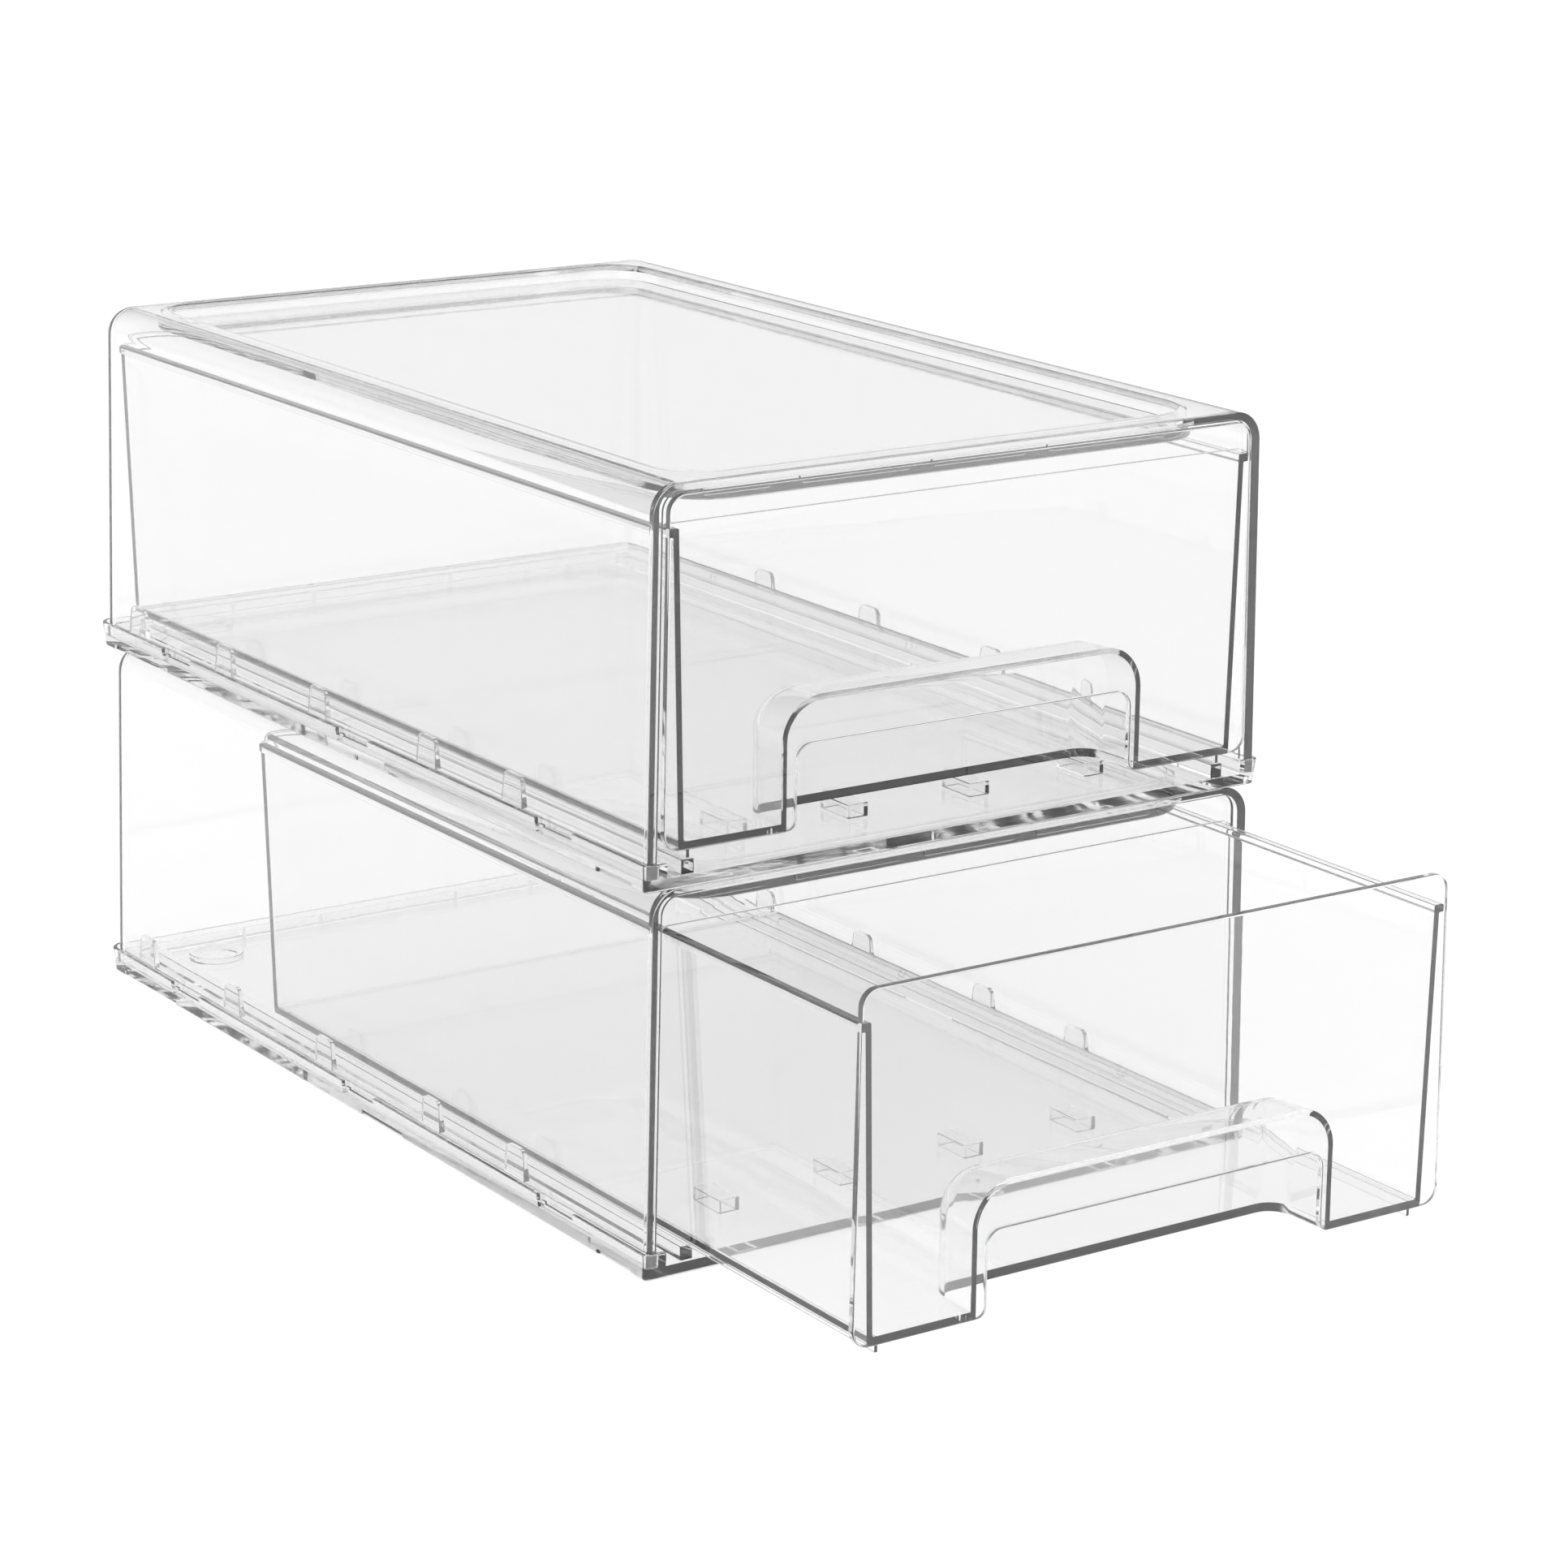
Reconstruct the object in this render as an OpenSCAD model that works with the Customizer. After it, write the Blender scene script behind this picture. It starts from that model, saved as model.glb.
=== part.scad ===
// Stackable clear fridge bin: two identical drawer units, one standing on the other.
// Each unit is three clear mouldings: a casing (top, back and sides), a snap-on base tray
// and a drawer with a pocket handle. Millimetres; X across, Y front (-) to back (+), Z up.
// Origin: centre of the lower base tray on the surface the stack stands on.
// Rest pose: lower drawer pulled out by drawer_pull, upper drawer shut.

/* [Overall] */
// width over the base tray rim
unit_w = 210; // [160:1:280]
// depth over the base tray rim
unit_d = 332; // [240:1:420]
// height of one unit, also the stacking pitch
unit_h = 110; // [90:1:160]
// how far the lower drawer is pulled out at rest
drawer_pull = 90; // [0:1:200]

/* [Base tray] */
// height of the outer rim
rim_h = 7.7; // [6:0.1:12]
// thickness of the tray floor
tray_floor = 3.6; // [2.5:0.1:5]
// how much the rim leans in at the bottom, per side
rim_lean = 0.6; // [0:0.1:1.5]
// plan radius of the rear corners
tray_r = 6; // [3:0.5:12]
// thickness of the inner ridge the casing wall clips over
ridge_t = 2.2; // [1.2:0.1:4]
// height of the inner ridge above the resting plane
ridge_top = 7; // [5:0.1:10]
// height of the clip tongues above the resting plane
tongue_top = 16; // [10:0.5:25]
// width of one clip tongue at its foot
tongue_w = 12.4; // [8:0.2:18]
// thickness of one clip tongue at its foot
tongue_t = 2.2; // [1:0.1:2.5]
// height of the two rails the drawer glides on
rail_top = 7.5; // [5:0.1:9]

/* [Casing] */
// gap from the rim face to the casing wall at the bottom
casing_inset = 1.3; // [0.8:0.1:3]
// how much the walls lean in per millimetre of height
draft = 0.0181; // [0:0.0001:0.05]
// side wall thickness
side_wall = 3.2; // [2:0.1:5]
// back wall thickness
back_wall = 3; // [2:0.1:5]
// thickness of the top along the open front
top_wall = 2.3; // [1.8:0.1:4]
// radius of the long top edges
top_r = 8.5; // [3:0.5:16]
// depth of the recessed top panel
recess_d = 5; // [2:0.5:8]
// half width of the recess
recess_hw = 88; // [60:1:120]
// land left in front of the recess
recess_front = 11; // [6:0.5:25]
// land left behind the recess
recess_back = 11.5; // [6:0.5:25]
// plan radius of the recess corners
recess_r = 16; // [3:0.5:20]
// thickness of the recessed panel
panel_t = 2.4; // [1.6:0.1:4]
// lower edge of the front header
header_z = 99.1; // [90:0.1:105]

/* [Drawer] */
// drawer wall thickness
wall_t = 1.8; // [1.2:0.1:3]
// drawer floor thickness
floor_t = 2.2; // [1.6:0.1:4]
// underside of the drawer floor
floor_z = 10.5; // [9:0.1:14]
// front panel thickness
front_t = 2.4; // [1.8:0.1:5]
// top of the drawer front
front_top = 107.3; // [95:0.1:108]
// half width of the drawer body at the floor
body_hw = 94; // [70:0.5:110]
// top of the drawer lip
lip_top = 98; // [80:0.5:99]
// half width over the lip
lip_hw = 97.4; // [75:0.1:112]

/* [Handle] */
// half width of the cut-out in the front
cut_hw = 56.7; // [35:0.1:75]
// top of the cut-out in the front
cut_top = 34.3; // [25:0.1:50]
// half width of the finger pocket behind it
pocket_hw = 61.2; // [40:0.1:80]
// top of the finger pocket
pocket_top = 47.6; // [35:0.1:60]
// depth of the finger pocket behind the front face
pocket_d = 23.3; // [12:0.1:40]

/* [Hidden] */
clear_col = [0.93, 0.95, 0.96, 0.35];
e = 0.02;
hw = unit_w / 2;
y_front = -unit_d / 2;
y_back = unit_d / 2;
fit_gap = 0.1;
casing_hw = hw - casing_inset;
casing_front = y_front + 1.2;
casing_back = y_back - casing_inset;
casing_z = tray_floor + fit_gap;
lip_in = casing_hw + fit_gap;
ridge_out = casing_hw - side_wall - 0.25;
ridge_back = casing_back - back_wall - 0.25;
panel_y = y_front - 0.3;
panel_z = floor_z + 0.2;
body_draft = 0.0211;
body_back = y_back - 10;
lip_back = y_back - 6.6;
lip_t = 2.3;
runner_x = 90.5;
runner_z = rail_top + 0.3;
header_y = y_front + 3.2;
header_t = 2;
frame_step = 0.5;
tongue_y = [-91.5, -43.5, 22, 82.5, 142];
tongue_top_t = 1.2;
tongue_top_w = 9.6;
rear_slot_x = [-56, -26, 26, 56];
rear_slot_w = 1.2;
catch_y = [-111, 3, 117];
catch_rim_h = 5.9;
notches = [[8, 18, 1.6], [135, 26, 2], [283, 38, 1.8]];
pad_x = [-62, -21, 21, 62];
bumper_x = [[-86, -65], [-55, -20], [-12, 19], [27, 67]];

// ---------- helpers ----------

// vertical disc used as a hull corner
module disc(x, y, z, r) {
    translate([x, y, z])
        cylinder(h = e, r = r, $fn = 48);
}

// small square block used as a hull corner
module block(x, y, z) {
    translate([x - 0.5, y - 0.5, z])
        cube([1, 1, e]);
}

// ball used as a hull corner where two rounded edges meet; its poles lie exactly at r
module ball(x, y, z, r) {
    translate([x, y, z])
        rotate_extrude($fn = 48)
            intersection() {
                circle(r = r, $fn = 48);
                translate([0, -r])
                    square([r, 2 * r]);
            }
}

// flat rounded rectangle in plan: half width w, from y0 to y1, corner radii rf (front) rb (back)
module plan(w, y0, y1, rf, rb) {
    union() {
        translate([-w, y0 + rf])
            square([2 * w, y1 - y0 - rf - rb]);
        translate([-w + rf, y0])
            square([2 * (w - rf), rf + e]);
        translate([-w + rb, y1 - rb - e])
            square([2 * (w - rb), rb + e]);
        for (s = [-1, 1]) {
            translate([s * (w - rf), y0 + rf])
                circle(r = rf, $fn = 64);
            translate([s * (w - rb), y1 - rb])
                circle(r = rb, $fn = 64);
        }
    }
}

// arch in front view: half width w, foot z0, top z1, corner radius r
module arch(w, z0, z1, r) {
    union() {
        translate([-w, z0])
            square([2 * w, z1 - z0 - r]);
        translate([-w + r, z0])
            square([2 * (w - r), z1 - z0]);
        for (s = [-1, 1])
            translate([s * (w - r), z1 - r])
                circle(r = r, $fn = 64);
    }
}

// stand a front-view outline up and give it depth from y0 to y1
module front_slab(y0, y1) {
    translate([0, y1, 0])
        rotate([90, 0, 0])
            linear_extrude(height = y1 - y0)
                children();
}

// upright drafted front outline with four rounded corners
module front_outline(w0, w1, z0, z1, r) {
    k = (w0 - w1) / (z1 - z0);
    xb = w0 - k * r - r;
    xt = w1 + k * r - r;
    union() {
        polygon([[-xb - r, z0 + r], [-xb, z0], [xb, z0], [xb + r, z0 + r],
                 [xt + r, z1 - r], [xt, z1], [-xt, z1], [-xt - r, z1 - r]]);
        for (s = [-1, 1]) {
            translate([s * xb, z0 + r])
                circle(r = r, $fn = 64);
            translate([s * xt, z1 - r])
                circle(r = r, $fn = 64);
        }
    }
}

// ---------- base tray ----------

// outer block of the tray, leaning in slightly towards the bottom
module tray_block() {
    hull() {
        for (s = [-1, 1]) {
            disc(s * (hw - rim_lean - 2), y_front + rim_lean + 2, 0, 2);
            disc(s * (hw - rim_lean - tray_r), y_back - rim_lean - tray_r, 0, tray_r);
            disc(s * (hw - 2), y_front + 2, rim_h - e, 2);
            disc(s * (hw - tray_r), y_back - tray_r, rim_h - e, tray_r);
        }
    }
}

// ridge standing inside the casing walls, open at the front, slotted at the back
module tray_ridge() {
    translate([0, 0, tray_floor - e])
        linear_extrude(height = ridge_top - tray_floor + e)
            difference() {
                plan(ridge_out, y_front + 0.8, ridge_back, 0.5, 3.4);
                plan(ridge_out - ridge_t, y_front - 20, ridge_back - ridge_t, 0.5, 1.2);
                for (x = rear_slot_x)
                    translate([x - rear_slot_w / 2, ridge_back - ridge_t - 1])
                        square([rear_slot_w, ridge_t + 2]);
            }
}

// one clip tongue: narrower and thinner towards its rounded top
module tongue() {
    foot = tray_floor - 3;
    r = 2.6;
    intersection() {
        front_slab(-tongue_t, tongue_t)
            front_outline(tongue_w / 2, tongue_top_w / 2, foot, tongue_top, r);
        translate([-tongue_w, 0, 0])
            rotate([90, 0, 90])
                linear_extrude(height = 2 * tongue_w)
                    polygon([[-tongue_t / 2, foot], [tongue_t / 2, foot],
                             [tongue_top_t / 2, tongue_top], [-tongue_top_t / 2, tongue_top]]);
    }
}

// all the tongues, along both sides
module tray_tongues() {
    for (s = [-1, 1])
        for (y = tongue_y)
            translate([s * (ridge_out - tongue_t / 2), y, 0])
                rotate([0, 0, 90])
                    tongue();
}

// everything cut from the outside of the rim on side s: the low stretch and the deeper notch at
// each catch, and the finger notches under it
module rim_cuts(s) {
    for (y = catch_y) {
        translate([s * (hw - 0.9) - 2, y - 17, catch_rim_h])
            cube([4, 19, 3]);
        translate([s * (hw - 0.9) - 2, y - 1.7, tray_floor + 0.4])
            cube([4, 3.4, 4]);
    }
    for (n = notches)
        translate([s * hw - 1.6, y_front + n[0], -1])
            cube([3.2, n[1], n[2] + 1]);
}

// rails under the drawer, hollow pads near the front and the two round bosses at the back
module tray_rails() {
    for (s = [-1, 1]) {
        translate([s * runner_x - 2, y_front + 1.5, tray_floor - e])
            cube([4, unit_d - 12, rail_top - tray_floor + e]);
        translate([s * 73, y_back - 20, tray_floor - e])
            difference() {
                cylinder(h = 2 + e, r = 9, $fn = 64);
                translate([0, 0, e])
                    cylinder(h = 4, r = 7.4, $fn = 64);
            }
    }
    for (x = pad_x)
        translate([x - 3.5, y_front + 22, tray_floor - e])
            difference() {
                cube([7, 14, rail_top - tray_floor + e]);
                translate([1.1, 1.1, 2 * e])
                    cube([4.8, 11.8, rail_top]);
            }
}

module base_tray() {
    color(clear_col)
        difference() {
            union() {
                difference() {
                    tray_block();
                    translate([0, 0, tray_floor])
                        linear_extrude(height = rim_h)
                            plan(lip_in, casing_front - fit_gap, casing_back + fit_gap, 1, 5);
                    translate([-ridge_out + ridge_t, y_front - 1, tray_floor])
                        cube([2 * (ridge_out - ridge_t), 6, rim_h]);
                }
                tray_ridge();
                tray_tongues();
                tray_rails();
            }
            for (s = [-1, 1])
                rim_cuts(s);
        }
}

// ---------- casing ----------

// closed drafted body with rounded long edges; gs, gb and gt shrink its sides, back and top,
// zb and yf are its open bottom and front
module casing_form(gs, gb, gt, zb, yf) {
    r = top_r - gs;
    zt = unit_h - gt;
    wb = casing_hw - draft * zb - gs;
    wt = casing_hw - draft * zt - gs;
    yb = casing_back - draft * zb - gb;
    yt = casing_back - draft * zt - gb;
    hull() {
        for (s = [-1, 1]) {
            block(s * (wb - 0.5), yf + 0.5, zb);
            disc(s * (wb - 6.5 + gs), yb - 6.5 + gs, zb, 6.5 - gs);
            translate([s * (wt - r), yf, zt - r])
                rotate([-90, 0, 0])
                    cylinder(h = 4, r = r, $fn = 48);
            ball(s * (wt - r), yt - r, zt - r, r);
        }
    }
}

// full-width plate inside the mouth that the drawer front closes against
module casing_frame() {
    wb = casing_hw - draft * casing_z - side_wall + 0.4;
    wt = casing_hw - draft * unit_h - side_wall + 0.4;
    z1 = unit_h - top_wall + 0.4;
    difference() {
        front_slab(header_y, header_y + header_t)
            front_outline(wb, wt, casing_z - 12, z1, 5);
        front_slab(header_y - 1, header_y + header_t + 1)
            front_outline(wb - 0.4 - frame_step, wt - 0.4 - frame_step, casing_z - 20, header_z, 3);
        translate([-hw, header_y - 1, ridge_top + 0.3 - 30])
            cube([unit_w, header_t + 2, 30]);
    }
}

// low bumpers on the front face of the header
module header_bumpers() {
    for (b = bumper_x)
        translate([b[0], header_y - 0.6, 105.6])
            cube([b[1] - b[0], 0.6 + e, 2.4]);
}

// pan that carries the recessed top panel
module top_pan() {
    y0 = y_front + recess_front;
    y1 = y_back - recess_back;
    z0 = unit_h - recess_d - panel_t;
    translate([0, 0, z0])
        linear_extrude(height = unit_h - z0 - 0.5)
            plan(recess_hw + panel_t, y0 - panel_t, y1 + panel_t, recess_r + panel_t, recess_r + panel_t);
}

module top_recess() {
    y0 = y_front + recess_front;
    y1 = y_back - recess_back;
    translate([0, 0, unit_h - recess_d])
        linear_extrude(height = recess_d + 1)
            plan(recess_hw, y0, y1, recess_r, recess_r);
}

module casing() {
    color(clear_col)
        difference() {
            union() {
                difference() {
                    casing_form(0, 0, 0, casing_z, casing_front);
                    casing_form(side_wall, back_wall, top_wall, casing_z - 1, casing_front - 3);
                }
                casing_frame();
                header_bumpers();
                top_pan();
                for (s = [-1, 1])
                    for (y = catch_y)
                        translate([s * (casing_hw - 0.1) - 0.4, y - 1.3, tray_floor + 0.7])
                            cube([0.8, 2.6, 2]);
            }
            top_recess();
        }
}

// ---------- drawer ----------

// drafted tub, its upright corners rounded by r and its lower edges by c; g shrinks it all round
module tub(g, z0, z1, r, c) {
    y0 = panel_y + front_t;
    hull()
        for (s = [-1, 1])
            for (k = [[0, 1], [0.3, 0.29], [1, 0]]) {
                z = z0 + k[0] * c;
                w = body_hw + body_draft * (z - floor_z) - g - k[1] * c;
                b = body_back + body_draft * (z - floor_z) - g - k[1] * c;
                block(s * (w - 0.5), y0 - 0.5, z);
                disc(s * (w - r), b - r, z, r);
                wt = body_hw + body_draft * (z1 - floor_z) - g;
                bt = body_back + body_draft * (z1 - floor_z) - g;
                block(s * (wt - 0.5), y0 - 0.5, z1 - e);
                disc(s * (wt - r), bt - r, z1 - e, r);
            }
}

// front panel, before the handle is cut out of it
module drawer_front() {
    w0 = casing_hw - draft * panel_z - side_wall - 1;
    w1 = casing_hw - draft * front_top - side_wall - 1;
    front_slab(panel_y, panel_y + front_t)
        front_outline(w0, w1, panel_z, front_top, 5);
}

// finger pocket outline in plan, used for shell and hollow
module pocket(w, zt, back, ra, rp, zb) {
    intersection() {
        front_slab(panel_y + front_t - 0.5, back)
            arch(w, zb, zt, ra);
        translate([0, 0, zb])
            linear_extrude(height = zt)
                plan(w, panel_y - 20, back, 1, rp);
    }
}

module drawer() {
    pw = 1.7;
    back = panel_y + pocket_d;
    color(clear_col)
        difference() {
            union() {
                difference() {
                    union() {
                        tub(0, floor_z, lip_top, 1.5, 1);
                        translate([0, 0, lip_top - lip_t])
                            linear_extrude(height = lip_t)
                                plan(lip_hw, panel_y + front_t - 0.5, lip_back, 0.5, 6);
                    }
                    tub(wall_t, floor_z + floor_t, lip_top + 1, 0.8, 0.6);
                }
                drawer_front();
                pocket(pocket_hw, pocket_top, back, 13, 9.7, floor_z);
                for (s = [-1, 1])
                    translate([s * runner_x - 0.5, panel_y + front_t, runner_z])
                        cube([1, body_back - panel_y - 8, floor_z - runner_z + 1]);
            }
            difference() {
                pocket(pocket_hw - pw, pocket_top - pw, back - pw, 11.4, 8, 0);
                translate([-hw, panel_y - 1, 0])
                    cube([unit_w, front_t + 1, unit_h]);
            }
            front_slab(panel_y - 1, panel_y + front_t + e)
                arch(cut_hw, 0, cut_top, 4.5);
        }
}

// ---------- placed parts ----------

module lower_base_tray() {
    base_tray();
}

module lower_casing() {
    casing();
}

module lower_drawer() {
    translate([0, -drawer_pull, 0])
        drawer();
}

module upper_base_tray() {
    translate([0, 0, unit_h])
        base_tray();
}

module upper_casing() {
    translate([0, 0, unit_h])
        casing();
}

module upper_drawer() {
    translate([0, 0, unit_h])
        drawer();
}

lower_base_tray();
lower_casing();
lower_drawer();
upper_base_tray();
upper_casing();
upper_drawer();
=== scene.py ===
import math

import bmesh
import bpy
from mathutils import Matrix, Vector


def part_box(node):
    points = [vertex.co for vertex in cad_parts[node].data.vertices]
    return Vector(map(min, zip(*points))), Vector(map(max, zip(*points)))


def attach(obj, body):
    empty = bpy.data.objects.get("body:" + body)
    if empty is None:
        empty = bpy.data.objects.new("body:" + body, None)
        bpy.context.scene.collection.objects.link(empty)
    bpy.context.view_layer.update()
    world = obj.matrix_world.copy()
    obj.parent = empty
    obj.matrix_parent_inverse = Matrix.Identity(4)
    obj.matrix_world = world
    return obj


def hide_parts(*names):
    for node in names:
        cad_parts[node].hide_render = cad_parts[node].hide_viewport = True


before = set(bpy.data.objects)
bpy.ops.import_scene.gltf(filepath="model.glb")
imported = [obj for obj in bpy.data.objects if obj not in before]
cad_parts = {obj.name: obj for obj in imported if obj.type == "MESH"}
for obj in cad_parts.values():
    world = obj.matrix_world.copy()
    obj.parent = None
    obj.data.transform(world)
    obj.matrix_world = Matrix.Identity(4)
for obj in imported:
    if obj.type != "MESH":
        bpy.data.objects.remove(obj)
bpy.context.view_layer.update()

# Lengths are millimetres in a unit's own frame, like the CAD: X across, Y front (-) to back (+),
# Z up, origin at the middle of the unit's footprint. MM turns them into metres.
MM = 0.001

# ---------------------------------------------------------------- sizes from the frame

TRAY_LOW, TRAY_HIGH = (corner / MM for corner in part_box("lower_base_tray"))
CASE_LOW, CASE_HIGH = (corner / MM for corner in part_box("lower_casing"))
SHUT_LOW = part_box("upper_drawer")[0] / MM
UNIT_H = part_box("upper_base_tray")[0].z / MM
PULL = (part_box("upper_drawer")[0].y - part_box("lower_drawer")[0].y) / MM
HALF_W = TRAY_HIGH.x
Y_FRONT = TRAY_LOW.y
Y_BACK = TRAY_HIGH.y
CASE_Y0 = CASE_LOW.y
CASE_Y1 = CASE_HIGH.y
CASE_Z0 = CASE_LOW.z
PANEL_Y = SHUT_LOW.y

# ---------------------------------------------------------------- sizes of the mouldings

CASE_HW = 103.7

RIM_H = 7.7
RIM_LEAN = 0.6
TRAY_FLOOR = 3.6
RIDGE_TOP = 7
RIDGE_T = 2.2
TONGUE_TOP = 16
TONGUE_W = (12.4, 9.6)
TONGUE_T = (2.2, 1.2)
TONGUE_Y = (-91.5, -43.5, 22, 82.5, 142)
REAR_SLOT_X = (-56, -26, 26, 56)
REAR_SLOT_W = 1.2
RAIL_TOP = 7.5
RUNNER_X = 90.5
CATCH_Y = (-111, 3, 117)
CATCH_RIM_H = 5.9
CATCH_BUMP_Z = TRAY_FLOOR + 0.7
PAD_X = (-62, -21, 21, 62)
PAD_W = 3.5
PAD_WALL = 1.1
PAD_Y = (22, 36)
BOSS_X, BOSS_FROM_BACK, BOSS_R, BOSS_WALL = 73, 20, 9, 1.6
NOTCHES = ((8, 18, 1.6), (135, 26, 2), (283, 38, 1.8))

DRAFT = 0.0181
SIDE_WALL = 3.2
BACK_WALL = 3.0
TOP_WALL = 2.3
TOP_R = 8.5
REAR_R = 7.0
LIP_R = 0.5
RECESS_D = 5
RECESS_HW = 88
RECESS_FRONT = 11
RECESS_BACK = 11.5
RECESS_R = 16
PANEL_T = 2.4
HEADER_Y = Y_FRONT + 3.2
HEADER_Z = 99.1
HEADER_T = 2
FRAME_STEP = 0.5
BUMPERS = ((-86, -65), (-55, -20), (-12, 19), (27, 67))
BUMPER_Z = 105.6

FRONT_T = 2.4
PANEL_Z = 10.7
FRONT_TOP = 107.3
WALL_T = 1.8
FLOOR_Z = 10.5
FLOOR_T = 2.2
BODY_HW = 94
BODY_DRAFT = 0.0211
BODY_BACK = Y_BACK - 10
BODY_R = 1.5
BODY_R_IN = 0.8
FOOT_R = 1
FOOT_R_IN = 0.6
LIP_TOP = 98
LIP_T = 2.3
LIP_HW = 97.4
LIP_PLAN_R = 6
LIP_BACK = Y_BACK - 6.6
CUT_HW = 56.7
CUT_TOP = 34.3
POCKET_HW = 61.2
POCKET_TOP = 47.6
POCKET_D = 23.3
POCKET_T = 1.7
POCKET_TAPER = 1.2
POCKET_R = 13
POCKET_END_R = 8

# ---------------------------------------------------------------- outlines


def outline(corners, steps=8):
    """Closed outline through corners (x, y, radius), counter-clockwise, each rounded by an arc."""
    points = []
    for i, (x, y, radius) in enumerate(corners):
        here = Vector((x, y))
        back = (Vector(corners[i - 1][:2]) - here).normalized()
        ahead = (Vector(corners[(i + 1) % len(corners)][:2]) - here).normalized()
        if radius <= 0:
            points.append(here)
            continue
        half = back.angle(ahead) / 2
        centre = here + (back + ahead).normalized() * radius / math.sin(half)
        first = here + back * radius / math.tan(half) - centre
        last = here + ahead * radius / math.tan(half) - centre
        start = math.atan2(first.y, first.x)
        turn = (math.atan2(last.y, last.x) - start + math.pi) % (2 * math.pi) - math.pi
        for k in range(steps + 1):
            a = start + turn * k / steps
            points.append(centre + radius * Vector((math.cos(a), math.sin(a))))
    return points


def inset(points, distance):
    """The outline moved inwards by distance, or outwards if it is negative."""
    moved = []
    for i, here in enumerate(points):
        along = (here - points[i - 1]).normalized()
        onward = (points[(i + 1) % len(points)] - here).normalized()
        n1, n2 = Vector((-along.y, along.x)), Vector((-onward.y, onward.x))
        moved.append(here + (n1 + n2) * distance / (1 + n1.dot(n2)))
    return moved


def plan(half_w, y0, y1, front_r, back_r, steps=8):
    return outline([(-half_w, y0, front_r), (half_w, y0, front_r),
                    (half_w, y1, back_r), (-half_w, y1, back_r)], steps)


def box_outline(x0, x1, y0, y1, radius=0, steps=3):
    return outline([(x0, y0, radius), (x1, y0, radius), (x1, y1, radius), (x0, y1, radius)], steps)


def quarter(steps):
    """(1 - sin, 1 - cos) along a quarter turn, for rounding an edge."""
    angles = [math.pi / 2 * k / steps for k in range(steps + 1)]
    return [(1 - math.sin(a), 1 - math.cos(a)) for a in angles]


# ---------------------------------------------------------------- solids


def new_object(name, verts, faces):
    mesh = bpy.data.meshes.new(name)
    mesh.from_pydata([tuple(v * MM for v in vert) for vert in verts], [], faces)
    bm = bmesh.new()
    bm.from_mesh(mesh)
    bmesh.ops.recalc_face_normals(bm, faces=bm.faces)
    bm.to_mesh(mesh)
    bm.free()
    obj = bpy.data.objects.new(name, mesh)
    bpy.context.scene.collection.objects.link(obj)
    return obj


def loft(name, rings):
    """Closed solid through rings of 3-D points, with flat ends."""
    n = len(rings[0])
    verts = [p for ring in rings for p in ring]
    faces = [tuple(reversed(range(n)))]
    for k in range(len(rings) - 1):
        for i in range(n):
            j = (i + 1) % n
            faces.append((k * n + i, k * n + j, (k + 1) * n + j, (k + 1) * n + i))
    faces.append(tuple(range((len(rings) - 1) * n, len(rings) * n)))
    return new_object(name, verts, faces)


def flat(points, z):
    return [(p.x, p.y, z) for p in points]


def upright(points, y):
    return [(p.x, y, p.y) for p in points]


def slab(name, points, low, high, edge, stand=flat, steps=3):
    """Plate of an outline from low to high, with its edges rounded."""
    rings = [stand(inset(points, edge * o), low + edge * h) for o, h in quarter(steps)]
    rings += [stand(inset(points, edge * o), high - edge * h) for o, h in reversed(quarter(steps))]
    return loft(name, rings)


def carve(obj, others, operation):
    """obj with the others added to it or cut from it, one after another."""
    for other in others:
        mod = obj.modifiers.new(operation, "BOOLEAN")
        mod.operation = operation
        mod.solver = "MANIFOLD"
        mod.object = other
    graph = bpy.context.evaluated_depsgraph_get()
    mesh = bpy.data.meshes.new_from_object(obj.evaluated_get(graph))
    obj.modifiers.clear()
    obj.data = mesh
    for other in others:
        bpy.data.objects.remove(other)
    return obj


def add(obj, *others):
    return carve(obj, others, "UNION")


def cut(obj, *others):
    return carve(obj, others, "DIFFERENCE")


def polish(obj):
    """Welds the mesh, smooths its rounded edges and keeps its flat faces flat."""
    bm = bmesh.new()
    bm.from_mesh(obj.data)
    bmesh.ops.remove_doubles(bm, verts=bm.verts, dist=0.0002 * MM)
    bmesh.ops.dissolve_degenerate(bm, edges=bm.edges, dist=0.0002 * MM)
    bmesh.ops.delete(bm, geom=[edge for edge in bm.edges if not edge.link_faces], context="EDGES")
    for face in bm.faces:
        face.smooth = True
    for edge in bm.edges:
        edge.smooth = len(edge.link_faces) == 2 and edge.calc_face_angle() < math.radians(38)
    bm.to_mesh(obj.data)
    bm.free()
    mod = obj.modifiers.new("weighted", "WEIGHTED_NORMAL")
    mod.keep_sharp = True
    mod.weight = 60
    graph = bpy.context.evaluated_depsgraph_get()
    mesh = bpy.data.meshes.new_from_object(obj.evaluated_get(graph))
    obj.modifiers.clear()
    obj.data = mesh
    return obj


# ---------------------------------------------------------------- base tray


def ridge_line():
    """Half width and rear end of the tray's ridge, just inside the casing walls."""
    return CASE_HW - SIDE_WALL - 0.25, CASE_Y1 - BACK_WALL - 0.25


def tray_block():
    foot = plan(HALF_W - RIM_LEAN, Y_FRONT + RIM_LEAN, Y_BACK - RIM_LEAN, 2, 6)
    rim = plan(HALF_W, Y_FRONT, Y_BACK, 2, 6)
    low, high = 0.7, 0.35
    rings = [flat(inset(foot, low * o), low * h) for o, h in quarter(3)]
    rings += [flat(inset(rim, high * o), RIM_H - high * h) for o, h in reversed(quarter(3))]
    return loft("base_tray", rings)


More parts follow.
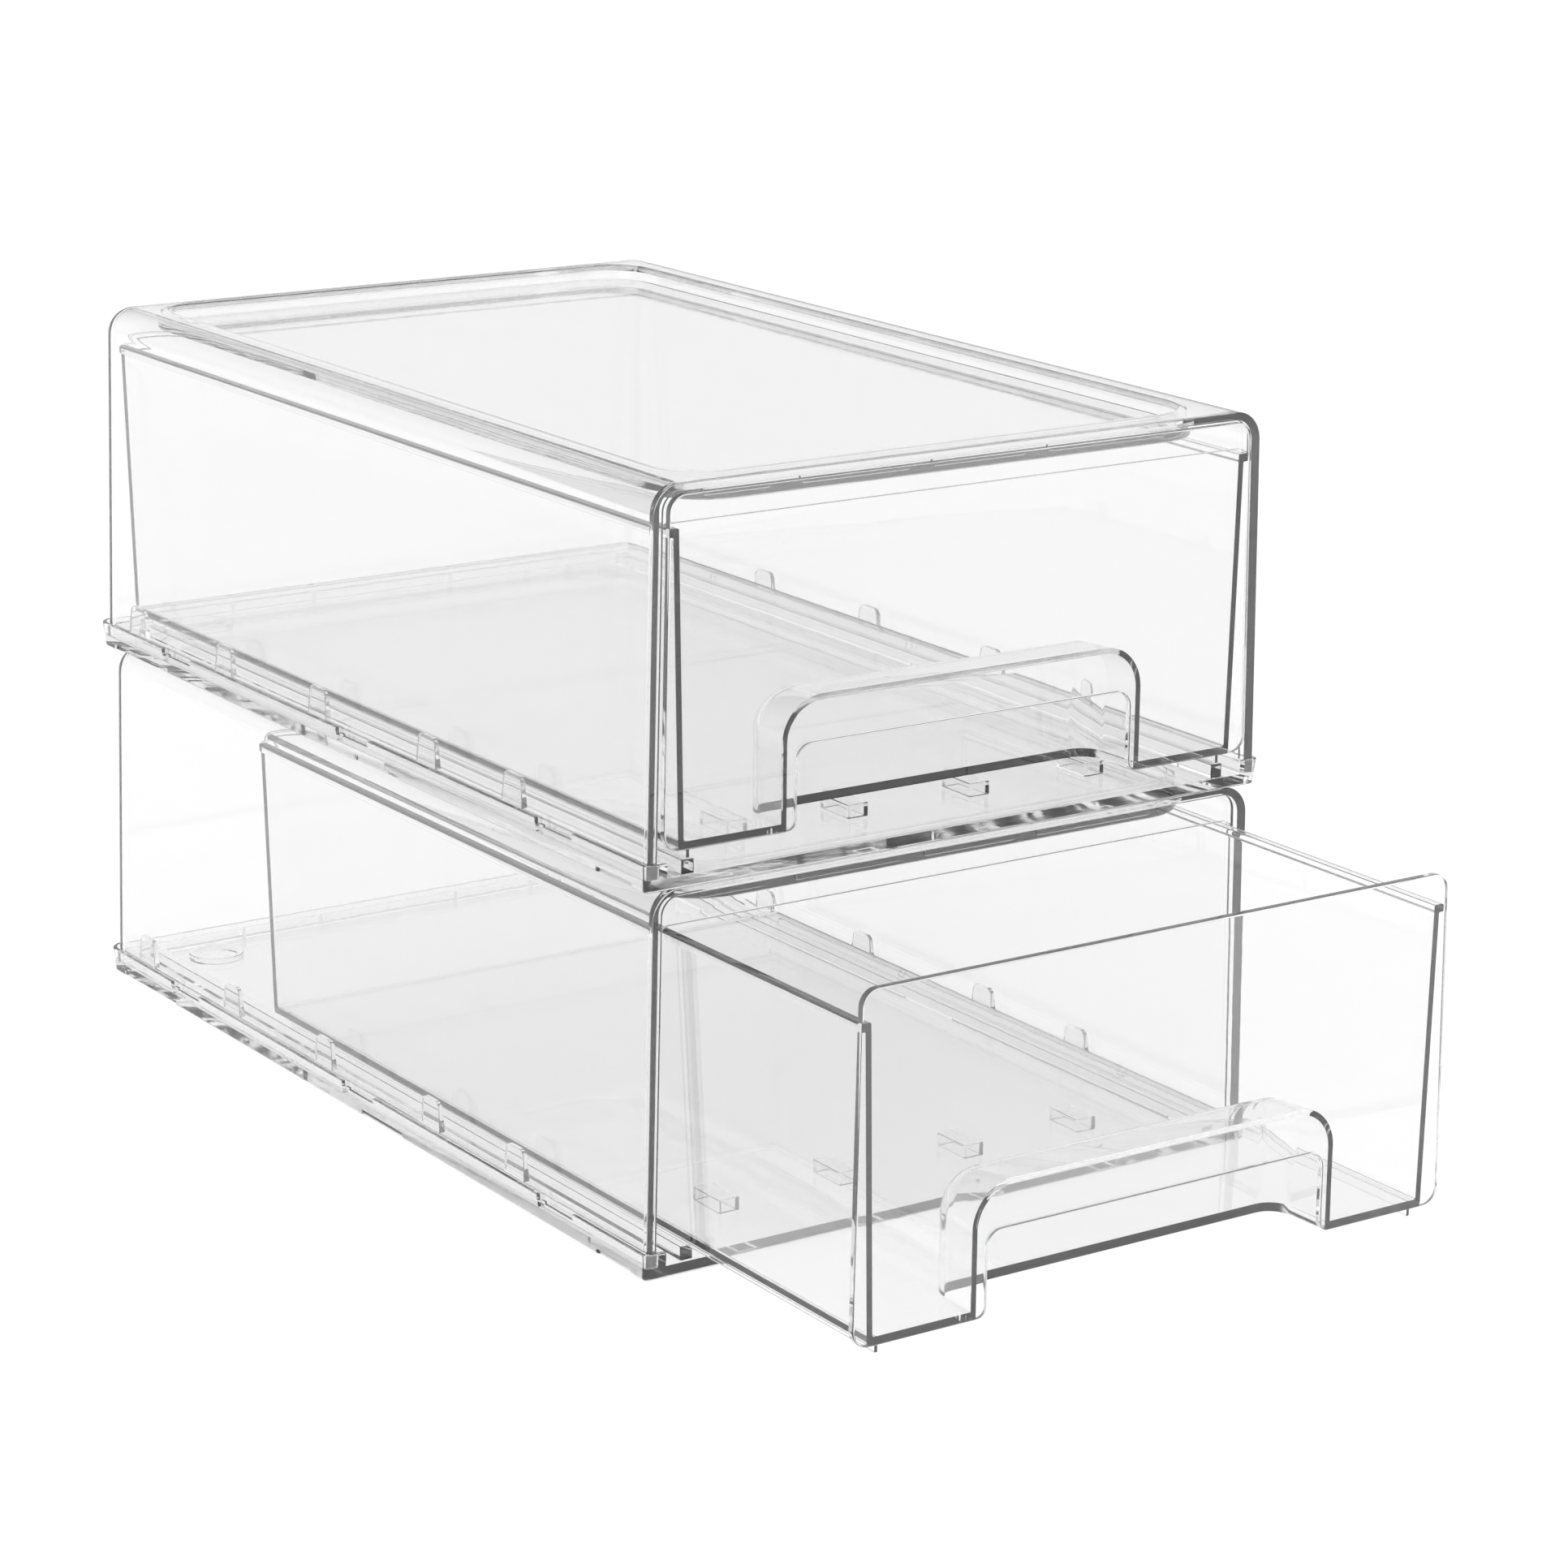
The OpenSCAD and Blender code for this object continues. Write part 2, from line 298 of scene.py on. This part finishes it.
def tongue(side, y):
    """Clip tongue, narrower and thinner towards its rounded top."""
    foot = TRAY_FLOOR - 0.5
    (foot_w, top_w), (foot_t, top_t) = TONGUE_W, TONGUE_T
    face = outline([(-foot_w / 2, foot, 0), (foot_w / 2, foot, 0),
                    (top_w / 2, TONGUE_TOP, 2.6), (-top_w / 2, TONGUE_TOP, 2.6)], 5)
    obj = slab("tongue", face, -foot_t / 2, foot_t / 2, 0.3, upright)
    for vert in obj.data.vertices:
        up = (vert.co.z / MM - foot) / (TONGUE_TOP - foot)
        vert.co.y *= 1 + up * (top_t / foot_t - 1)
    obj.data.transform(Matrix.Translation(Vector((side, y, 0)) * MM) @ Matrix.Rotation(math.pi / 2, 4, "Z"))
    return obj


def tray_tongues():
    reach = ridge_line()[0] - TONGUE_T[0] / 2
    return [tongue(s * reach, y) for s in (-1, 1) for y in TONGUE_Y]


def tray_rails():
    return [slab("rail", box_outline(s * RUNNER_X - 2, s * RUNNER_X + 2, Y_FRONT + 1.5, Y_BACK - 10.5, 0.6),
                 TRAY_FLOOR - 0.5, RAIL_TOP, 0.3) for s in (-1, 1)]


def pad(x):
    """Hollow pad near the front, open at the top."""
    x0, x1 = x - PAD_W, x + PAD_W
    y0, y1 = (Y_FRONT + y for y in PAD_Y)
    inner = box_outline(x0 + PAD_WALL, x1 - PAD_WALL, y0 + PAD_WALL, y1 - PAD_WALL, 0.4)
    hollow = slab("hollow", inner, TRAY_FLOOR + 0.04, RAIL_TOP + 3, 0.1)
    return cut(slab("pad", box_outline(x0, x1, y0, y1, 0.6), TRAY_FLOOR - 0.5, RAIL_TOP, 0.25), hollow)


def boss(x, y):
    """Low ring on the tray's floor."""
    turns = [math.tau * k / 40 for k in range(40)]
    ring = [Vector((x + BOSS_R * math.cos(a), y + BOSS_R * math.sin(a))) for a in turns]
    hollow = slab("hollow", inset(ring, BOSS_WALL), TRAY_FLOOR + 0.02, TRAY_FLOOR + 6, 0.1)
    return cut(slab("boss", ring, TRAY_FLOOR - 0.5, TRAY_FLOOR + 2, 0.3), hollow)


def rim_cut(side, y0, y1, z0, z1, radius):
    """Block that cuts the rim on one side from y0 to y1 and z0 to z1."""
    block = slab("cut", box_outline(y0, y1, z0, z1, radius), -2, 2, 0.01)
    axes = Matrix(((0, 0, 1, 0), (1, 0, 0, 0), (0, 1, 0, 0), (0, 0, 0, 1)))
    block.data.transform(Matrix.Translation(Vector((side * (HALF_W - 0.9), 0, 0)) * MM) @ axes)
    return block


def rim_cuts(side):
    """The low stretch and the deeper notch at each catch, and the finger notches under the rim."""
    cuts = [rim_cut(side, y - 17, y + 2, CATCH_RIM_H, RIM_H + 3, 0.5) for y in CATCH_Y]
    cuts += [rim_cut(side, y - 1.7, y + 1.7, TRAY_FLOOR + 0.4, RIM_H + 3, 0.3) for y in CATCH_Y]
    for start, length, height in NOTCHES:
        x, y = side * HALF_W, Y_FRONT + start
        cuts.append(slab("notch", box_outline(x - 1.6, x + 1.6, y, y + length, 0.8), -2, height, 0.3))
    return cuts


def build_tray():
    side, rear = ridge_line()
    tray = tray_block()
    channel = slab("channel", plan(CASE_HW + 0.1, CASE_Y0 - 0.1, CASE_Y1 + 0.1, 1, 5),
                   TRAY_FLOOR, RIM_H + 8, 0.15)
    mouth = slab("mouth", box_outline(-side + RIDGE_T, side - RIDGE_T, Y_FRONT - 3, Y_FRONT + 5),
                 TRAY_FLOOR, RIM_H + 8, 0.01)
    cut(tray, channel, mouth)
    ridge = slab("ridge", plan(side, Y_FRONT + 0.8, rear, 0.6, 3.4), TRAY_FLOOR - 0.5, RIDGE_TOP, 0.35)
    court = slab("court", plan(side - RIDGE_T, Y_FRONT - 20, rear - RIDGE_T, 0.6, 1.4),
                 TRAY_FLOOR - 3, RIDGE_TOP + 4, 0.2)
    cut(ridge, court)
    half = REAR_SLOT_W / 2
    cut(ridge, *[slab("slot", box_outline(x - half, x + half, rear - RIDGE_T - 1, rear + 1),
                      TRAY_FLOOR + 0.02, RIDGE_TOP + 4, 0.01) for x in REAR_SLOT_X])
    add(tray, ridge)
    add(tray, *tray_tongues())
    add(tray, *tray_rails())
    add(tray, *[pad(x) for x in PAD_X])
    add(tray, *[boss(s * BOSS_X, Y_BACK - BOSS_FROM_BACK) for s in (-1, 1)])
    cut(tray, *rim_cuts(-1), *rim_cuts(1))
    return polish(tray)


# ---------------------------------------------------------------- casing


def arch_ring(shrink, y, lean=0, z_low=CASE_Z0, side=0, top=0):
    """Arch outline of the casing, smaller by shrink all round but for its foot."""
    z_high = UNIT_H - top - shrink
    foot_w = CASE_HW - DRAFT * z_low - side - shrink
    head_w = CASE_HW - DRAFT * z_high - side - shrink
    radius = TOP_R - side - shrink
    points = outline([(-foot_w, z_low, 0), (foot_w, z_low, 0),
                      (head_w, z_high, radius), (-head_w, z_high, radius)], 12)
    return [(p.x, y - lean * DRAFT * p.y, p.y) for p in points]


def casing_block():
    rings = [arch_ring(LIP_R * o, CASE_Y0 + LIP_R * h) for o, h in quarter(4)]
    for o, h in reversed(quarter(8)):
        rings.append(arch_ring(REAR_R * o, CASE_Y1 - REAR_R * h, 1))
    return loft("casing", rings)


def casing_hollow():
    wall = {"z_low": CASE_Z0 - 5, "side": SIDE_WALL, "top": TOP_WALL}
    inner_r = REAR_R - BACK_WALL
    rings = [arch_ring(-LIP_R, CASE_Y0 - 5, 0, **wall)]
    rings += [arch_ring(-LIP_R * o, CASE_Y0 + LIP_R * h, 0, **wall) for o, h in quarter(4)]
    for o, h in reversed(quarter(6)):
        rings.append(arch_ring(inner_r * o, CASE_Y1 - BACK_WALL - inner_r * h, 1, **wall))
    return loft("hollow", rings)


def header_frame():
    """Header strip across the mouth and the step down each inner side."""
    foot = RIDGE_TOP + 0.3

    def wall(z, depth):
        return CASE_HW - DRAFT * z - SIDE_WALL + depth

    top = UNIT_H - TOP_WALL + 0.4
    points = outline([
        (wall(foot, -FRAME_STEP), foot, 0), (wall(foot, 0.4), foot, 0),
        (wall(top, 0.4), top, 5), (-wall(top, 0.4), top, 5),
        (-wall(foot, 0.4), foot, 0), (-wall(foot, -FRAME_STEP), foot, 0),
        (-wall(HEADER_Z, -FRAME_STEP), HEADER_Z, 3), (wall(HEADER_Z, -FRAME_STEP), HEADER_Z, 3)])
    return slab("header", points, HEADER_Y, HEADER_Y + HEADER_T, 0.25, upright)


def build_casing():
    casing = cut(casing_block(), casing_hollow())
    add(casing, header_frame())
    add(casing, *[slab("bumper", box_outline(x0, x1, BUMPER_Z, UNIT_H - TOP_WALL + 0.3, 0.7),
                       HEADER_Y - 0.6, HEADER_Y + 0.5, 0.25, upright) for x0, x1 in BUMPERS])
    y0, y1 = Y_FRONT + RECESS_FRONT, Y_BACK - RECESS_BACK
    floor_z = UNIT_H - RECESS_D
    pan = plan(RECESS_HW + PANEL_T, y0 - PANEL_T, y1 + PANEL_T, RECESS_R + PANEL_T, RECESS_R + PANEL_T, 12)
    add(casing, slab("pan", pan, floor_z - PANEL_T, UNIT_H - 0.5, 0.4, steps=3))
    rim = plan(RECESS_HW, y0, y1, RECESS_R, RECESS_R, 12)
    edge, root = 0.3, 0.3
    rings = [flat(inset(rim, root * o), floor_z + root * h) for o, h in quarter(4)]
    rings += [flat(inset(rim, -edge * h), UNIT_H - edge * o) for o, h in quarter(4)]
    rings.append(flat(inset(rim, -edge), UNIT_H + 5))
    cut(casing, loft("recess", rings))
    add(casing, *[slab("catch", box_outline(x - 0.4, x + 0.4, y - 1.3, y + 1.3, 0.2),
                       CATCH_BUMP_Z, CATCH_BUMP_Z + 2, 0.2)
                  for x in (0.1 - CASE_HW, CASE_HW - 0.1) for y in CATCH_Y])
    return polish(casing)


# ---------------------------------------------------------------- drawer


def tub_ring(z, shrink, front, wall=0):
    """Plan of the tub at height z; the front edge stays where it is."""
    lean = BODY_DRAFT * (z - FLOOR_Z)
    half_w = BODY_HW + lean - wall - shrink
    back = BODY_BACK + lean - wall - shrink
    return flat(plan(half_w, front, back, 0.3, (BODY_R_IN if wall else BODY_R) - shrink * 0.6), z)


def lip_ring(z, shrink, front):
    return flat(plan(LIP_HW - shrink, front, LIP_BACK - shrink, 0.3, LIP_PLAN_R - shrink), z)


def build_tub():
    """Tub: up the outside, round the lip and down the inside to the floor."""
    outside, inside = PANEL_Y + 0.8, PANEL_Y + FRONT_T - 0.3
    lip_low = LIP_TOP - LIP_T
    floor = FLOOR_Z + FLOOR_T
    foot_in = FOOT_R_IN
    rings = [tub_ring(FLOOR_Z + FOOT_R * h, FOOT_R * o, outside) for o, h in quarter(4)]
    rings += [tub_ring(lip_low - 0.4 * o, -0.4 * h, outside) for o, h in quarter(3)]
    rings += [lip_ring(lip_low + 0.4 * h, 0.4 * o, outside) for o, h in quarter(3)]
    rings += [lip_ring(LIP_TOP - 0.7 * h, 0.7 * o, outside) for o, h in reversed(quarter(4))]
    rings += [tub_ring(LIP_TOP - 0.5 * o, -0.5 * h, inside, WALL_T) for o, h in reversed(quarter(3))]
    rings += [tub_ring(floor + foot_in * h, foot_in * o, inside, WALL_T) for o, h in reversed(quarter(3))]
    return loft("drawer", rings)


def arch_outline(half_w, foot, top, radius):
    return outline([(-half_w, foot, 0), (half_w, foot, 0), (half_w, top, radius), (-half_w, top, radius)], 12)


def pocket_block(wall, foot, front):
    """Finger pocket: an arch that runs back from the panel and closes with a rounded end."""
    end_r = POCKET_END_R - wall
    back = PANEL_Y + POCKET_D - wall

    def ring(shrink, y):
        shrink += wall + POCKET_TAPER * (y - PANEL_Y) / POCKET_D
        arch = arch_outline(POCKET_HW - shrink, foot, POCKET_TOP - shrink, POCKET_R - shrink)
        return upright(arch, y)

    rings = [ring(0, front)] + [ring(end_r * o, back - end_r * h) for o, h in reversed(quarter(8))]
    return loft("pocket", rings)


def drawer_panel():
    """Front panel, with the handle opening in its lower edge."""
    def half(z):
        return CASE_HW - DRAFT * z - SIDE_WALL - 1

    points = outline([
        (-half(PANEL_Z), PANEL_Z, 5), (-CUT_HW, PANEL_Z, 3), (-CUT_HW, CUT_TOP, 4.5), (CUT_HW, CUT_TOP, 4.5),
        (CUT_HW, PANEL_Z, 3), (half(PANEL_Z), PANEL_Z, 5), (half(FRONT_TOP), FRONT_TOP, 5),
        (-half(FRONT_TOP), FRONT_TOP, 5)])
    return slab("panel", points, PANEL_Y, PANEL_Y + FRONT_T, 0.5, upright, steps=4)


def build_drawer():
    drawer = build_tub()
    add(drawer, pocket_block(0, FLOOR_Z, PANEL_Y + 1.2))
    cut(drawer, pocket_block(POCKET_T, -5, PANEL_Y - 5))
    add(drawer, drawer_panel())
    y0, y1 = PANEL_Y + FRONT_T - 0.4, BODY_BACK - 6
    add(drawer, *[slab("runner", box_outline(s * RUNNER_X - 0.5, s * RUNNER_X + 0.5, y0, y1, 0.3),
                       RAIL_TOP + 0.3, FLOOR_Z + 1, 0.3) for s in (-1, 1)])
    return polish(drawer)


# ---------------------------------------------------------------- materials

PLASTIC_TINT = (0.981, 0.981, 0.981, 1)
PLASTIC_IOR = 1.52
CLARITY = 0.985
OFF_FACE = 0.03
WAVE_SCALE, WAVE_H = 14, 0.00012
RIPPLE_SCALE, RIPPLE_H = 160, 0.000004
HAZE_SCALE = 28
HAZE_LOW = 0.004
HAZE = {"base_tray": 0.07, "casing": 0.03, "drawer": 0.035}


def noise(nt, coords, scale, detail):
    node = nt.nodes.new("ShaderNodeTexNoise")
    node.inputs["Scale"].default_value = scale
    node.inputs["Detail"].default_value = detail
    nt.links.new(coords, node.inputs["Vector"])
    return node.outputs["Fac"]


def bump(nt, height, distance, normal=None):
    node = nt.nodes.new("ShaderNodeBump")
    node.inputs["Strength"].default_value = 1.0
    node.inputs["Distance"].default_value = distance
    nt.links.new(height, node.inputs["Height"])
    if normal:
        nt.links.new(normal, node.inputs["Normal"])
    return node.outputs["Normal"]


def clear_plastic(name, shift, haze_top):
    """Clear moulded plastic: slow waves of the mould face, a fine ripple and patches of faint haze.
    A small share of the light is scattered, meant to keep the dark edge bands from going black.

    The noise is read off the surface, along its normal, so the two faces of a wall differ and the
    wall bends what is seen through it a little. shift keeps the mouldings from matching.
    """
    mat = bpy.data.materials.new(name)
    mat.use_nodes = True
    nt = mat.node_tree
    b = nt.nodes["Principled BSDF"]
    b.inputs["Base Color"].default_value = PLASTIC_TINT
    b.inputs["IOR"].default_value = PLASTIC_IOR
    b.inputs["Transmission Weight"].default_value = CLARITY
    coord = nt.nodes.new("ShaderNodeTexCoord")
    off = nt.nodes.new("ShaderNodeVectorMath")
    off.operation = "MULTIPLY_ADD"
    off.inputs[1].default_value = (OFF_FACE, OFF_FACE, OFF_FACE)
    nt.links.new(coord.outputs["Normal"], off.inputs[0])
    nt.links.new(coord.outputs["Object"], off.inputs[2])
    moved = nt.nodes.new("ShaderNodeVectorMath")
    moved.operation = "ADD"
    moved.inputs[1].default_value = (shift, 0, 0)
    nt.links.new(off.outputs[0], moved.inputs[0])
    where = moved.outputs[0]
    waves = bump(nt, noise(nt, where, WAVE_SCALE, 1), WAVE_H)
    nt.links.new(bump(nt, noise(nt, where, RIPPLE_SCALE, 2), RIPPLE_H, waves), b.inputs["Normal"])
    haze = nt.nodes.new("ShaderNodeMapRange")
    haze.inputs["From Min"].default_value = 0.45
    haze.inputs["From Max"].default_value = 0.8
    haze.inputs["To Min"].default_value = HAZE_LOW
    haze.inputs["To Max"].default_value = haze_top
    nt.links.new(noise(nt, where, HAZE_SCALE, 4), haze.inputs["Value"])
    nt.links.new(haze.outputs["Result"], b.inputs["Roughness"])
    return mat


# ---------------------------------------------------------------- placing


def place(part, name, node, body, material, dy, dz):
    obj = bpy.data.objects.new(name, part.data.copy())
    bpy.context.scene.collection.objects.link(obj)
    obj.data.transform(Matrix.Translation(Vector((0, dy, dz)) * MM))
    obj.data.materials.clear()
    obj.data.materials.append(material)
    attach(obj, body)
    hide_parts(node)
    return obj


# ---------------------------------------------------------------- camera

LENS_MM = 103.57
SENSOR_MM = 36.0
EYE = Vector((-0.7155, -1.1324, 0.4588))
YAW, PITCH, ROLL = math.radians(34.108), math.radians(15.538), math.radians(0.562)


def add_camera():
    forward = Vector((math.sin(YAW) * math.cos(PITCH), math.cos(YAW) * math.cos(PITCH), -math.sin(PITCH)))
    level = Vector((math.cos(YAW), -math.sin(YAW), 0))
    upward = level.cross(forward)
    right = math.cos(ROLL) * level + math.sin(ROLL) * upward
    up = math.cos(ROLL) * upward - math.sin(ROLL) * level
    data = bpy.data.cameras.new("camera")
    data.lens = LENS_MM
    data.sensor_width = SENSOR_MM
    data.clip_start = 0.02
    data.clip_end = 50
    camera = bpy.data.objects.new("camera", data)
    bpy.context.scene.collection.objects.link(camera)
    camera.matrix_world = Matrix.Translation(EYE) @ Matrix((right, up, -forward)).transposed().to_4x4()
    bpy.context.scene.camera = camera


# ---------------------------------------------------------------- stage

FLOOR_HALF, FLOOR_DROP = 12, 0.0004
FLOOR_PALE, FLOOR_GLOW = 0.2, 0.86
# World light straight onto a diffuse surface, and onto one through the plastic.
OPEN_LIGHT, FILTERED_LIGHT = 1.1, 3.0
# Sky brightness everywhere else, as (height, brightness).
SKY = ((0.0, 0.9), (0.28, 0.82), (0.45, 0.45), (0.7, 0.2), (1.0, 0.3))
# Light trapped in a wall ends after this many inner reflections, which gives the dark edge bands.
EDGE_BOUNCES = 14


def add_floor():
    """Pale floor, partly self-lit so that the shade under the clear plastic stays faint."""
    s, z = FLOOR_HALF, -FLOOR_DROP
    mesh = bpy.data.meshes.new("floor")
    mesh.from_pydata([(-s, -s, z), (s, -s, z), (s, s, z), (-s, s, z)], [], [(0, 1, 2, 3)])
    floor = bpy.data.objects.new("floor", mesh)
    bpy.context.scene.collection.objects.link(floor)
    mat = bpy.data.materials.new("floor")
    mat.use_nodes = True
    b = mat.node_tree.nodes["Principled BSDF"]
    b.inputs["Base Color"].default_value = (FLOOR_PALE, FLOOR_PALE, FLOOR_PALE, 1)
    b.inputs["Roughness"].default_value = 0.9
    b.inputs["Specular IOR Level"].default_value = 0.0
    b.inputs["Emission Color"].default_value = (1, 1, 1, 1)
    b.inputs["Emission Strength"].default_value = FLOOR_GLOW
    mesh.materials.append(mat)


def background(nt, value):
    node = nt.nodes.new("ShaderNodeBackground")
    node.inputs["Color"].default_value = (1, 1, 1, 1)
    node.inputs["Strength"].default_value = value
    return node


def add_world():
    world = bpy.data.worlds.new("studio")
    bpy.context.scene.world = world
    world.use_nodes = True
    nt = world.node_tree
    nt.nodes.clear()
    out = nt.nodes.new("ShaderNodeOutputWorld")
    path = nt.nodes.new("ShaderNodeLightPath")
    open_light, filtered = background(nt, OPEN_LIGHT), background(nt, FILTERED_LIGHT)
    sky = background(nt, 1.0)
    coord = nt.nodes.new("ShaderNodeTexCoord")
    sep = nt.nodes.new("ShaderNodeSeparateXYZ")
    ramp = nt.nodes.new("ShaderNodeValToRGB")
    nt.links.new(coord.outputs["Generated"], sep.inputs[0])
    nt.links.new(sep.outputs["Z"], ramp.inputs[0])
    el = ramp.color_ramp.elements
    while len(el) < len(SKY):
        el.new(0.5)
    for e, (at, v) in zip(el, SKY):
        e.position = at
        e.color = (v, v, v, 1)
    nt.links.new(ramp.outputs[0], sky.inputs[0])
    over = nt.nodes.new("ShaderNodeMath")
    over.operation = "GREATER_THAN"
    over.inputs[1].default_value = 0.5
    nt.links.new(path.outputs["Diffuse Depth"], over.inputs[0])
    lit = nt.nodes.new("ShaderNodeMixShader")
    nt.links.new(path.outputs["Is Diffuse Ray"], lit.inputs[0])
    nt.links.new(filtered.outputs[0], lit.inputs[1])
    nt.links.new(open_light.outputs[0], lit.inputs[2])
    mix = nt.nodes.new("ShaderNodeMixShader")
    nt.links.new(over.outputs[0], mix.inputs[0])
    nt.links.new(sky.outputs[0], mix.inputs[1])
    nt.links.new(lit.outputs[0], mix.inputs[2])
    nt.links.new(mix.outputs[0], out.inputs[0])


def set_scene():
    scene = bpy.context.scene
    scene.view_settings.view_transform = "Standard"
    scene.view_settings.look = "None"
    c = scene.cycles
    c.max_bounces = 48
    c.transmission_bounces = 48
    c.glossy_bounces = EDGE_BOUNCES
    c.diffuse_bounces = 3
    c.caustics_refractive = True
    c.caustics_reflective = True
    c.sample_clamp_indirect = 0


# ---------------------------------------------------------------- the object

add_camera()
add_floor()
add_world()
set_scene()

parts = {"base_tray": build_tray(), "casing": build_casing(), "drawer": build_drawer()}
slots = {"base_tray": "clear_base", "casing": "clear_casing", "drawer": "clear_drawer"}
skins = {kind: clear_plastic(slots[kind], i * 0.7, HAZE[kind]) for i, kind in enumerate(parts)}
for level, rise in (("lower", 0), ("upper", UNIT_H)):
    for kind, part in parts.items():
        loose = kind == "drawer"
        pull = -PULL if loose and level == "lower" else 0
        body = level + ("_drawer" if loose else "_unit")
        node = level + "_" + kind
        place(part, node + "_moulding", node, body, skins[kind], pull, rise)
for part in parts.values():
    bpy.data.objects.remove(part)
